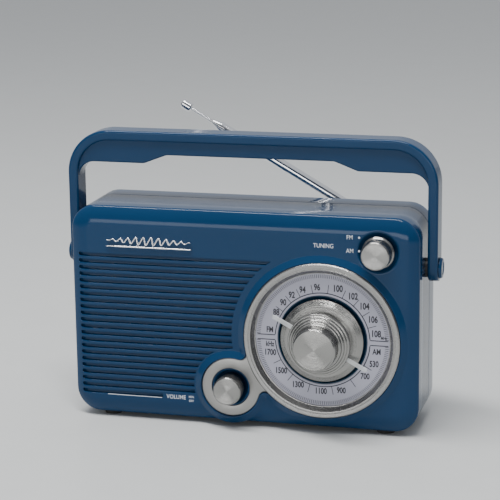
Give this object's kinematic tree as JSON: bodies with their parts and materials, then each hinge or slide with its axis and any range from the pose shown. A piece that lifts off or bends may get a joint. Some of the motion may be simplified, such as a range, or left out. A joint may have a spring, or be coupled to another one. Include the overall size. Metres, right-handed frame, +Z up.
{
  "type": "portable radio",
  "caption": "Gloss moulded portable radio with louvred front, large round tuning dial, folding strap handle and telescopic antenna.",
  "frame": {"origin": "centre of the footprint of the whole radio, on the surface that its feet stand on", "axes": "+X to the right along the front, -Y towards the listener, +Z up"},
  "size_m": [0.278, 0.1066, 0.2253],
  "materials": {
    "cabinet_blue": "high-gloss moulded shell, navy",
    "deep_blue": "gloss moulded ring, darker navy",
    "bright_trim": "satin silver ring and plate",
    "spun_knob": "spun aluminium knob faces",
    "dial_print": "pale printed dial",
    "clear_pointer": "clear moulded pointer",
    "chrome": "polished chrome",
    "black_plastic": "matt black moulding",
    "rubber": "soft rubber",
    "steel": "plated steel",
    "brass": "brass and copper wire",
    "board": "printed circuit laminate",
    "speaker_paper": "black paper cone and cloth",
    "ferrite": "sintered ferrite",
    "laminations": "stacked iron plates",
    "cell_wrap": "wrapped dry cell"
  },
  "bodies": {
    "cabinet": {"front_cabinet": "cabinet_blue", "rear_cabinet": "cabinet_blue", "grille_cloth": "speaker_paper", "dial_trim": "bright_trim", "dial_face": "dial_print", "dial_hub_ring": "deep_blue", "volume_well_ring": "cabinet_blue", "ornament": "chrome", "tuning_capacitor": "steel", "volume_control": "steel", "band_switch": "black_plastic", "speaker_frame": "black_plastic", "speaker_cone": "speaker_paper", "speaker_dust_cap": "speaker_paper", "speaker_magnet": "ferrite", "circuit_board": "board", "amplifier_chip": "black_plastic", "filter_capacitors": "black_plastic", "tuned_coils": "steel", "ferrite_rod": "ferrite", "ferrite_coil": "brass", "ferrite_holders": "black_plastic", "transformer_core": "laminations", "transformer_winding": "brass", "mains_inlet": "black_plastic", "mains_pins": "brass", "headphone_socket": "black_plastic", "aux_socket": "black_plastic", "battery_cells": "cell_wrap", "battery_springs": "steel", "battery_contacts": "steel", "rubber_feet": "rubber", "case_screws": "steel", "board_screws": "steel", "speaker_screws": "steel", "pivot_pins": "cabinet_blue", "pivot_washers": "black_plastic", "antenna_clip": "cabinet_blue"},
    "tuning": {"tuning_knob": "spun_knob", "tuning_knob_skirt": "spun_knob", "dial_pointer": "clear_pointer", "tuning_shaft": "steel"},
    "volume": {"volume_knob": "spun_knob", "volume_shaft": "steel"},
    "band": {"band_knob": "spun_knob", "band_shaft": "steel"},
    "handle": {"handle": "cabinet_blue"},
    "battery_door": {"battery_door": "cabinet_blue"},
    "antenna_base": {"antenna_swivel": "chrome", "antenna_elbow_pin": "steel"},
    "antenna_mast": {"antenna_mast": "chrome"},
    "antenna_2": {"antenna_tube_2": "chrome"},
    "antenna_3": {"antenna_tube_3": "chrome"},
    "antenna_4": {"antenna_tube_4": "chrome"},
    "antenna_5": {"antenna_tube_5": "chrome"},
    "antenna_tip": {"antenna_tip": "chrome"}
  },
  "joints": [
    {"name": "tuning_turn", "type": "hinge", "parent": "cabinet", "child": "tuning", "pos_m": [0.059, -0.02633, 0.0685], "axis": [0, 1, 0], "range_deg": [-5, 150]},
    {"name": "volume_turn", "type": "hinge", "parent": "cabinet", "child": "volume", "pos_m": [-0.008, -0.02633, 0.03], "axis": [0, 1, 0], "range_deg": [0, 300]},
    {"name": "band_turn", "type": "hinge", "parent": "cabinet", "child": "band", "pos_m": [0.099, -0.02633, 0.134], "axis": [0, 1, 0], "range_deg": [-30, 0]},
    {"name": "handle_fold", "type": "hinge", "parent": "cabinet", "child": "handle", "pos_m": [0, 0.00768, 0.117], "axis": [1, 0, 0], "range_deg": [-12, 90]},
    {"name": "battery_door_open", "type": "hinge", "parent": "cabinet", "child": "battery_door", "pos_m": [0.0585, 0.04007, 0.0132], "axis": [-1, 0, 0], "range_deg": [0, 90]},
    {"name": "antenna_swing", "type": "hinge", "parent": "cabinet", "child": "antenna_base", "pos_m": [0.102, 0.04967, 0.127], "axis": [0, 1, 0], "range_deg": [-30, 150]},
    {"name": "antenna_fold", "type": "hinge", "parent": "antenna_base", "child": "antenna_mast", "pos_m": [0.102, 0.04967, 0.127], "axis": [-0.5, 0, -0.866], "range_deg": [0, 90]},
    {"name": "antenna_draw_2", "type": "slide", "parent": "antenna_mast", "child": "antenna_2", "axis": [-0.866, 0, 0.5], "range_m": [0, 0.12]},
    {"name": "antenna_draw_3", "type": "slide", "parent": "antenna_2", "child": "antenna_3", "axis": [-0.866, 0, 0.5], "range_m": [0, 0.12]},
    {"name": "antenna_draw_4", "type": "slide", "parent": "antenna_3", "child": "antenna_4", "axis": [-0.866, 0, 0.5], "range_m": [0, 0.12]},
    {"name": "antenna_draw_5", "type": "slide", "parent": "antenna_4", "child": "antenna_5", "axis": [-0.866, 0, 0.5], "range_m": [0, 0.12]},
    {"name": "antenna_draw_tip", "type": "slide", "parent": "antenna_5", "child": "antenna_tip", "axis": [-0.866, 0, 0.5], "range_m": [-0.018, 0.1]}
  ]
}
